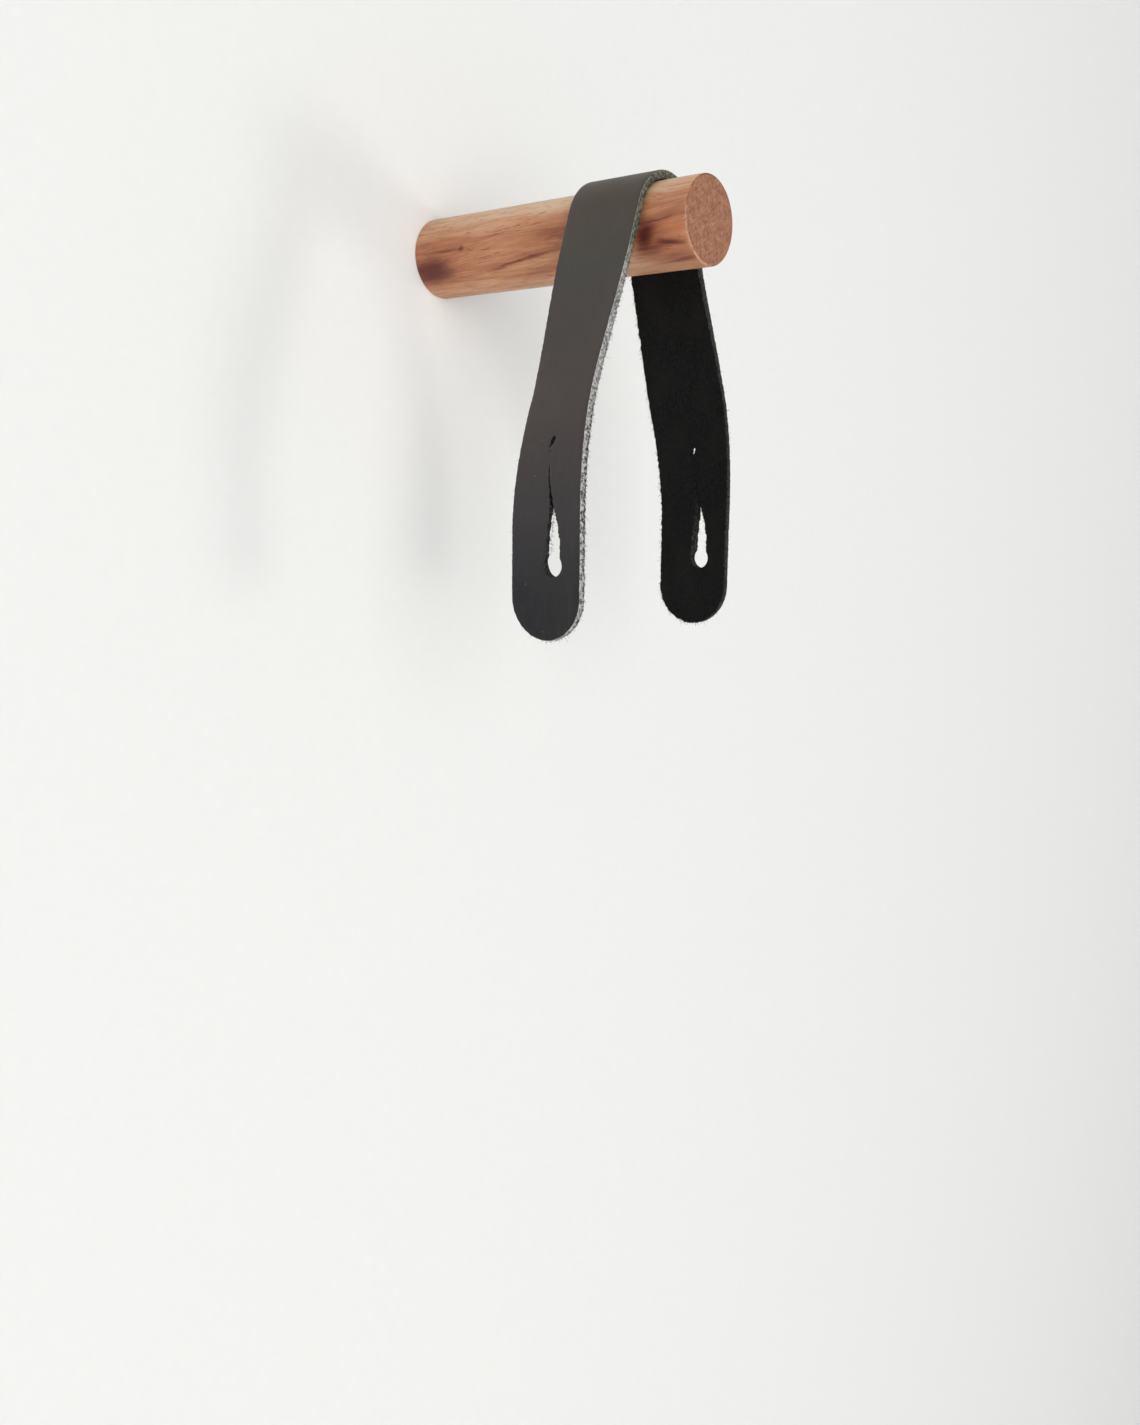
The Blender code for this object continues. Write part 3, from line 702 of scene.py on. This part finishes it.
# Rows that cross one half of the strap, from the cut (g) to the outer edge (o), as (across, run).
# Above the shaft hole a row runs straight across. Round the hole the rows fan out: g turns about the
# hole while o goes down the edge and round the tip. hand is 1 for the front half, -1 for the rear.
# Also how far each row's cut is open, whether it is, and how far its wall slopes back.
def strapPlan(hand):
    s = strapSizes
    apex, hole, tip = strapRuns()
    half = s["width"] / 2
    holeAt = np.array([s["holeForward"], hole])
    lipColumn = 2 if hand > 0 else 1
    shutEnd = slitLips[10, 0] * mm  # the last shut row above the slit
    meet = math.asin(abs(slitLips[-1, lipColumn] * mm - s["holeForward"]) / s["holeRadius"])
    slitEnd = hole - s["holeRadius"] * math.cos(meet)
    apexRows = apex + np.array([0.0, 0.02, 0.08, 0.2]) * mm
    body = np.linspace(apexRows[-1], shutEnd, int((shutEnd - apexRows[-1]) / s["rowStep"]))[1:]
    slit = np.linspace(shutEnd, slitEnd, int((hole - shutEnd) / s["rowStep"]))[1:]
    runs = np.concatenate([apexRows, body, slit])
    rear = np.interp(runs / mm, slitLips[:, 0], slitLips[:, 1]) * mm
    front = np.interp(runs / mm, slitLips[:, 0], slitLips[:, 2]) * mm
    wide = front - rear
    isOpen = wide > 1e-6
    alongLip = np.stack([runs / mm, 0.0 * runs, 0.0 * runs + 3.0 * hand], axis=1)
    torn = waveNoise(alongLip, *s["tornWaves"])
    torn *= s["torn"] * smoothStep(wide / s["tornWidth"]) * smoothStep((slitEnd - runs) / s["tornEase"])
    g = np.stack([(front if hand > 0 else rear) + torn, runs], axis=1)
    fan = np.linspace(0.0, 1.0, s["fanRows"])[1:]
    turn = meet + fan * (math.pi - meet)
    fanG = holeAt + s["holeRadius"] * np.stack([hand * np.sin(turn), -np.cos(turn)], axis=1)
    straight = tip - half - slitEnd
    length = fan * (straight + half * math.pi / 2)
    bend = np.clip(length - straight, 0.0, None) / half
    fanO = np.stack([hand * half * np.cos(bend),
                     slitEnd + np.minimum(length, straight) + half * np.sin(bend)], axis=1)
    g = np.concatenate([g, fanG])
    o = np.concatenate([np.stack([np.full(len(runs), hand * half), runs], axis=1), fanO])
    g[-1, 0] = s["holeForward"]
    o[-1, 0] = 0.0
    opened = np.concatenate([smoothStep(wide / s["openWidth"]), np.ones(len(fan))])
    under = np.zeros(len(g))
    if hand < 0:
        grown = smoothStep((runs / mm - s["undercutStart"]) / s["undercutEase"])
        under[: len(runs)] = s["undercut"] * grown * (1.0 + 2.0 * torn / mm)
        under[len(runs):] = under[len(runs) - 1] * smoothStep(1.0 - fan / 0.5)
    return g, o, opened, np.concatenate([isOpen, np.ones(len(fan), bool)]), under


# One row's loop: for each point its share of the way from g to o, its inset from there, its depth,
# the depth it has where the slit is shut, and the finish of the face that follows it (0 grain, 1 cut
# edge, 2 flesh side, 3 dark cut). The loop goes out over the grain, round the edge, back along the
# flesh side and up the wall of the slit.
def strapLoop():
    s = strapSizes
    t, r, q = s["thickness"], s["grainRound"], s["fleshRound"]
    turn = np.radians(np.array([0.0, 30.0, 60.0, 90.0]))
    dip, rise = 1.0 - np.cos(turn), 1.0 - np.sin(turn)
    share = np.linspace(0.0, 1.0, 9)[1:-1]
    lip = 0.4  # how much tighter the slit's lips are rounded than the outer edges
    wall = np.linspace(r, t - q, s["wallPoints"])[1:-1]
    slitWall = np.linspace(t - lip * q, lip * r, 4)[1:-1]

    def rows(share, inset, depth, shutDepth, finish):
        return np.stack(np.broadcast_arrays(share, inset, depth, shutDepth, finish), axis=1).astype(float)

    return np.concatenate([
        rows(0.0, lip * r * dip, lip * r * rise, 0.0, np.array([3, 3, 0, 0])),
        rows(share, 0.0, 0.0, 0.0, 0),
        rows(1.0, -r * dip[::-1], r * rise[::-1], r * rise[::-1], np.array([0, 0, 1, 1])),
        rows(1.0, 0.0 * wall, wall, wall, 1),
        rows(1.0, -q * dip, t - q * rise, t - q * rise, np.array([1, 1, 2, 2])),
        rows(share[::-1], 0.0, t, t, 2),
        rows(0.0, lip * q * dip[::-1], t - lip * q * rise[::-1], t, np.array([2, 2, 3, 3])),
        rows(0.0, 0.0 * slitWall, slitWall, slitWall, 3),
    ])


# Loose fibres as thin three-sided tubes: a ring at share t of the length lies at
# root + heading * length * t + curl * length * t squared, and the tube thins towards its tip.
def fibreTubes(root, heading, curl, length, radius):
    share = np.array([0.0, 0.5, 1.0])[None, :, None]
    thin = np.array([1.0, 0.75, 0.25])[None, :, None, None]
    middle = root[:, None] + (heading[:, None] * share + curl[:, None] * share ** 2) * length[:, None, None]
    first = np.cross(heading, curl)
    first /= np.linalg.norm(first, axis=1, keepdims=True)
    second = np.cross(heading, first)
    angle = np.arange(3) * math.tau / 3
    ring = (first[:, None] * np.cos(angle)[None, :, None] + second[:, None] * np.sin(angle)[None, :, None])
    points = middle[:, :, None] + ring[:, None] * thin * radius[:, None, None, None]
    offset = (np.arange(len(root)) * points[0, ..., 0].size)[:, None, None]
    sides = (gridQuads(3, 3, True)[None] + offset).reshape(-1, 4)
    ends = (np.array([[2, 1, 0], [6, 7, 8]])[None] + offset).reshape(-1, 3)
    return points.reshape(-1, 3), sides, ends


fringeSizes = {
    "perMm": 6.0,  # fibres for each mm of the outer edge below the peg
    "perMmSlit": 5.0,
    "length": (0.35 * mm, 1.1 * mm),
    "radius": (0.035 * mm, 0.085 * mm),
    "start": 4.0 * mm,  # along the strap from where it leaves the peg
    "slitStart": 80.0 * mm,
    "aboveHole": 3.0 * mm,  # where the slit's fibres stop
    "bury": 0.15 * mm,
    "depthSpread": 0.28,  # share of the thickness, counted from the flesh side
    "scatter": 0.45,
    "droop": 0.25,
    "curl": 0.5,
    "curlDroop": 0.2,
}


# Fibres along one hand's outer edge and slit: random points on the o and g lines, leaning outwards.
# It gives what strapSkin gives.
def strapFringe(side, hand):
    s, f = strapSizes, fringeSizes
    random = np.random.default_rng(40 + 2 * side + hand)
    _, hole, tip = strapRuns()
    g, o, *_ = strapPlan(hand)
    roots, outs = [], []
    lines = (o, o - g, f["start"], f["perMm"]), (g, g - o, f["slitStart"], f["perMmSlit"])
    for line, away, first, perMm in lines:
        step = np.linalg.norm(np.diff(line, axis=0), axis=1)
        along = np.concatenate([[0.0], np.cumsum(step)])
        begin = along[np.searchsorted(line[:, 1] if line is o else g[:, 1], first)]
        last = along[-1] if line is o else along[np.searchsorted(g[:, 1] > hole - f["aboveHole"], True)]
        count = int((last - begin) / mm * perMm)
        at = np.sort(random.uniform(begin, last, count))
        away = away / np.linalg.norm(away, axis=1, keepdims=True)
        roots.append(np.stack([np.interp(at, along, line[:, axis]) for axis in (0, 1)], axis=1))
        outs.append(np.stack([np.interp(at, along, away[:, axis]) for axis in (0, 1)], axis=1))
    root, out = np.concatenate(roots), np.concatenate(outs)
    count = len(root)
    depth = s["thickness"] * (1.0 - np.abs(random.normal(0.0, f["depthSpread"], count))).clip(0.08, 0.97)
    root = root - out * f["bury"]
    low = strapPlace(side, root[:, 0], root[:, 1], depth)
    ahead = root + out * mm
    heading = strapPlace(side, ahead[:, 0], ahead[:, 1], depth) - low
    heading += (random.normal(0.0, f["scatter"], (count, 3)) - np.array([0.0, 0.0, f["droop"]])) * mm
    heading /= np.linalg.norm(heading, axis=1, keepdims=True)
    curl = random.normal(0.0, f["curl"], (count, 3)) - np.array([0.0, 0.0, f["curlDroop"]])
    length = f["bury"] + random.uniform(*f["length"], count) * random.uniform(0.3, 1.0, count)
    radius = random.uniform(*f["radius"], count)
    points, sides, ends = fibreTubes(low, heading, curl, length, radius)
    each = len(points) // count
    along = np.repeat(np.clip(root[:, 1] / tip, 0.0, 1.0), each)
    return points, sides, np.ones(len(sides)), ends, along, np.repeat(depth / s["thickness"], each)


def grainMaterial():
    n = Nodes("blackLeather", 0.48, specular=0.30)
    along = n.attribute("along")
    cloud = n.noise(n.place((0.045, 0.045, 0.030)), 3.0)
    pull = n.noise(n.place((0.9, 0.9, 0.16)), 3.0, 0.6)
    pebble = n.cells(n.place((2.4, 2.4, 2.4)))
    fine = n.noise(n.place((3.2, 3.2, 3.2)), 3.0, 0.6)
    # the colour down the strap is painted light: lighter and olive over the peg, a painted sheen, then
    # darker down each leg to near black at the tip, painted shade
    base = n.shades(along, [(0.0, (0.067, 0.052, 0.041)), (0.14, (0.060, 0.055, 0.048)),
                            (0.45, (0.061, 0.045, 0.040)), (0.72, (0.034, 0.030, 0.034)),
                            (0.90, (0.008, 0.008, 0.012)), (1.0, (0.006, 0.006, 0.009))])
    base = n.mix(n.ramp(cloud, 0.3, 0.7, 0.0, 0.25), base, (0.040, 0.037, 0.033))
    base = n.mix(n.ramp(pull, 0.50, 0.78, 0.0, 0.12), base, (0.105, 0.092, 0.085))
    specks = n.ramp(n.cells(n.place((0.22, 0.22, 0.22))), 0.050, 0.030, 0.0, 0.5)
    base = n.mix(specks, base, (0.25, 0.24, 0.23))
    n.colour(base)
    n.roughness(n.sum(n.ramp(cloud, 0.3, 0.7, 0.44, 0.52), n.ramp(fine, 0.3, 0.7, -0.04, 0.04)))
    height = n.sum(n.math("MULTIPLY", n.ramp(pebble, 0.0, 0.6), 0.30), n.math("MULTIPLY", fine, 0.35))
    n.bump(height, 0.07 * mm, 0.4)
    return n.material


# The raw edge is pale at the grain side's corner. Low on a leg its flesh side is dark and coarse, and
# near the peg it is olive and rubbed. A dyed edge turns dark below the peg, but for its pale corner.
def cutEdgeMaterial(name, dyed):
    n = Nodes(name, 0.85, specular=0.2)
    along, deep = n.attribute("along"), n.attribute("deep")
    speck = n.noise(n.place((1.2, 1.2, 1.2)), 3.0, 0.65)
    fine = n.noise(n.place((3.6, 3.6, 3.6)), 2.0, 0.6)
    mottle = n.sum(n.math("MULTIPLY", speck, 0.65), n.math("MULTIPLY", fine, 0.35))
    contrast = n.ramp(along, 0.40, 0.62, 0.7, 1.35)
    spread = n.math("MULTIPLY", n.ramp(mottle, 0.38, 0.62, -0.5, 0.5), contrast)
    worn = n.math("MULTIPLY", n.ramp(deep, 0.42, 0.95), n.ramp(along, 0.42, 0.60, -0.12, -0.46))
    level = n.sum(spread, worn, n.ramp(deep, 0.22, 0.08, 0.0, 0.30), 0.66)
    colour = n.shades(level, [(0.0, (0.030, 0.031, 0.034)), (0.35, (0.120, 0.120, 0.122)),
                              (0.70, (0.310, 0.305, 0.300)), (1.0, (0.520, 0.515, 0.510))])
    rubbed = n.scaled(colour, (0.42, 0.43, 0.35))
    colour = n.mix(n.ramp(along, 0.20, 0.07), colour, rubbed)
    if dyed:
        cover = n.math("MULTIPLY", n.ramp(along, 0.02, 0.16), n.ramp(deep, 0.06, 0.22, 0.35, 0.93))
        colour = n.mix(cover, colour, (0.016, 0.016, 0.017))
    n.colour(colour)
    n.bump(mottle, 0.20 * mm, 0.8)
    return n.material


def darkCutMaterial():
    # the slit's walls are near black: dyed, and darker still with painted shade of the slit's inside
    n = Nodes("dyedAndShadedCut", 0.88, specular=0.15)
    speck = n.noise(n.place((1.5, 1.5, 1.5)), 4.0, 0.7)
    n.colour(n.mix(n.ramp(speck, 0.45, 0.72), (0.010, 0.010, 0.011), (0.085, 0.085, 0.088)))
    n.bump(speck, 0.16 * mm, 0.7)
    return n.material


def suedeMaterial():
    n = Nodes("fleshSide", 0.92, specular=0.12)
    nap = n.noise(n.place((1.6, 1.6, 1.0)), 4.0, 0.7)
    cloud = n.noise(n.place((0.12, 0.12, 0.08)), 3.0)
    base = n.mix(n.ramp(nap, 0.35, 0.7), (0.0045, 0.0045, 0.0045), (0.012, 0.012, 0.012))
    n.colour(n.mix(n.ramp(cloud, 0.4, 0.7, 0.0, 0.5), base, (0.013, 0.012, 0.0115)))
    n.bump(nap, 0.10 * mm, 0.6)
    return n.material


# One hand's skin: the loop is carried along its rows, and faces on the slit's wall are left out where
# it is shut. The outer edge is ragged by a coarse and a fine wave. It gives points, quads, their
# finishes, triangles, and two values for each point: how far along the strap and how deep it lies.
def strapSkin(side, hand, loop):
    s = strapSizes
    apex, _, tip = strapRuns()
    share, inset, deep, shutDeep, finish = loop.T
    count = len(loop)
    wall = np.arange(count - 3, count)  # the faces of the slit's wall
    g, o, opened, isOpen, under = strapPlan(hand)
    rows = len(g)
    toOuter = o - g
    toward = toOuter / np.linalg.norm(toOuter, axis=1, keepdims=True)
    atCut = (share == 0.0)[None, :] * (1.0 - opened[:, None])
    depth = deep[None, :] + (shutDeep - deep)[None, :] * atCut
    slope = under[:, None] * depth / s["thickness"] * (1.0 - share)[None, :]
    plan = (g[:, None] + toOuter[:, None] * share[None, :, None]
            + toward[:, None] * (inset[None, :] * (1.0 - atCut) + slope)[..., None])
    field = np.concatenate([plan, depth[..., None] * s["raggedStretch"]], axis=-1) / mm
    rough = sum(weight * waveNoise(field, *waves) for weight, *waves in s["raggedWaves"])
    below = smoothStep((plan[..., 1] - s["raggedStart"]) / s["raggedEase"])
    amount = s["ragged"][0] + (s["ragged"][1] - s["ragged"][0]) * below
    amount = amount * smoothStep((plan[..., 1] - apex) / (1.0 * mm)) * (share == 1.0)[None, :]
    atGrain = s["raggedAtGrain"]
    amount = amount * (atGrain + (1.0 - atGrain) * smoothStep(depth / s["thickness"]))
    plan = plan + toward[:, None] * (amount * rough)[..., None]
    points = strapPlace(side, plan[..., 0], plan[..., 1], depth).reshape(-1, 3)
    keep = np.ones((rows - 1, count), bool)
    keep[np.ix_(~(isOpen[:-1] | isOpen[1:]), wall)] = False
    quads = gridQuads(rows, count, True).reshape(rows - 1, count, 4)[keep]
    finishes = np.broadcast_to(finish, (rows - 1, count))[keep]
    along = np.clip(plan[..., 1] / tip, 0.0, 1.0).reshape(-1)
    return points, quads, finishes, np.zeros((0, 3), int), along, (depth / s["thickness"]).reshape(-1)


# Half of the strip, from over the peg down one leg. The two hands meet along the middle line, and a
# cap closes each hand over the peg.
def makeStrapHalf(side, name, nodes, materials):
    loop = strapLoop()
    parts = [strapSkin(side, hand, loop) for hand in (1, -1)]
    parts += [strapFringe(side, hand) for hand in (1, -1)]
    points, quads, finishes, triangles, along, deep = zip(*parts)
    starts = np.cumsum([0] + [len(block) for block in points])
    quads = np.concatenate([block + start for block, start in zip(quads, starts)])
    triangles = np.concatenate([block + start for block, start in zip(triangles, starts)])
    cap = np.arange(len(loop))
    caps = np.stack([cap, cap + starts[1]])
    finishes = np.concatenate([*finishes, np.ones(len(caps) + len(triangles))])
    mesh = meshFromArrays(name, np.concatenate(points), [quads, caps, triangles],
                          {"along": np.concatenate(along), "deep": np.concatenate(deep)},
                          finishes, weld=1.5e-6, sharp=60.0)
    piece = addPiece(name, mesh, materials, nodes)
    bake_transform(piece)


def makeStrap():
    grain, suede, darkCut = grainMaterial(), suedeMaterial(), darkCutMaterial()
    edges = cutEdgeMaterial("cutEdge", False), cutEdgeMaterial("dyedEdge", True)
    makeStrapHalf(-1, "strapLeft", ["strap_saddle", "strap_left_leg"],
                  [grain, edges[0], suede, darkCut])
    makeStrapHalf(1, "strapRight", ["strap_saddle", "strap_right_leg"],
                  [grain, edges[1], suede, darkCut])


stageSetup = {
    "wallHalf": 2.5,
    "floorDrop": -1.3,
    "paint": (0.86, 0.86, 0.845),
    "sky": (0.955, 0.975, 1.0),
    "skyStrength": 0.42,
}

# Lights: direction towards the light, distance, size, power in watts, colour.
lightSetup = {
    "window": ((0.44, -0.78, -0.15), 4.0, 0.84, 18.0, (1.0, 0.985, 0.96)),
    "frontSoft": ((-0.40, -0.91, 0.04), 3.0, 2.4, 52.0, (1.0, 0.99, 0.975)),
}


# Matt paint with a faint roller texture. Seen from behind, the wall is clear, so the fixing shows.
def paintMaterial(name, clearFromBehind):
    n = Nodes(name, 0.85, specular=0.2)
    lumps = n.noise(n.place((0.26, 0.26, 0.26)), 3.0)
    paint = stageSetup["paint"]
    n.colour(n.mix(n.ramp(lumps, 0.3, 0.7), [c * 0.99 for c in paint], paint))
    n.bump(lumps, 0.10 * mm, 0.3)
    if clearFromBehind:
        # it is open behind the peg too, so that light reaches the fixing there
        back = n.node("ShaderNodeNewGeometry", {}, "Backfacing")
        onWall = n.place((1.0, 1.0, 1.0))
        fromAxis = n.node("ShaderNodeVectorMath", {0: onWall}, "Value", operation="LENGTH")
        behindPeg = n.math("LESS_THAN", fromAxis, pegSizes["radius"] / mm - 1.0)
        clear = n.node("ShaderNodeBsdfTransparent", {})
        both = n.node("ShaderNodeMixShader", {0: n.math("MAXIMUM", back, behindPeg), 1: n.shader.outputs[0],
                                              2: clear})
        n.tree.links.new(both, n.tree.nodes["Material Output"].inputs["Surface"])
    return n.material


def makeStage():
    s = stageSetup
    half, drop = s["wallHalf"], s["floorDrop"]
    corners = {
        "wall": [(-half, 0, drop), (half, 0, drop), (half, 0, half), (-half, 0, half)],
        "floor": [(-half, -half, drop), (half, -half, drop), (half, half, drop), (-half, half, drop)],
    }
    for name, points in corners.items():
        mesh = bpy.data.meshes.new(name)
        mesh.from_pydata(points, [], [(0, 1, 2, 3)])
        mesh.materials.append(paintMaterial(name + "Paint", name == "wall"))
        plane = bpy.data.objects.new(name, mesh)
        bpy.context.scene.collection.objects.link(plane)
    for name, (toLight, distance, size, power, colour) in lightSetup.items():
        data = bpy.data.lights.new(name, "AREA")
        data.shape = "DISK"
        data.size = size
        data.energy = power
        data.color = colour
        lamp = bpy.data.objects.new(name, data)
        bpy.context.scene.collection.objects.link(lamp)
        axisZ = np.array(toLight) / np.linalg.norm(toLight)
        axisX = np.cross((0, 0, 1), axisZ)
        axisX /= np.linalg.norm(axisX)
        axisY = np.cross(axisZ, axisX)
        lamp.location = axisZ * distance
        lamp.rotation_euler = Matrix([(axisX[i], axisY[i], axisZ[i]) for i in range(3)]).to_euler()
    world = bpy.data.worlds.new("daylight")
    bpy.context.scene.world = world
    world.use_nodes = True
    sky = world.node_tree.nodes["Background"]
    sky.inputs["Color"].default_value = (*s["sky"], 1.0)
    sky.inputs["Strength"].default_value = s["skyStrength"]
    bpy.context.scene.view_settings.view_transform = "Standard"
    print("stage and lights set")


makeCamera()
makePeg()
makeBolt()
makeInsert()
makePlug()
makeStrap()
makeStage()
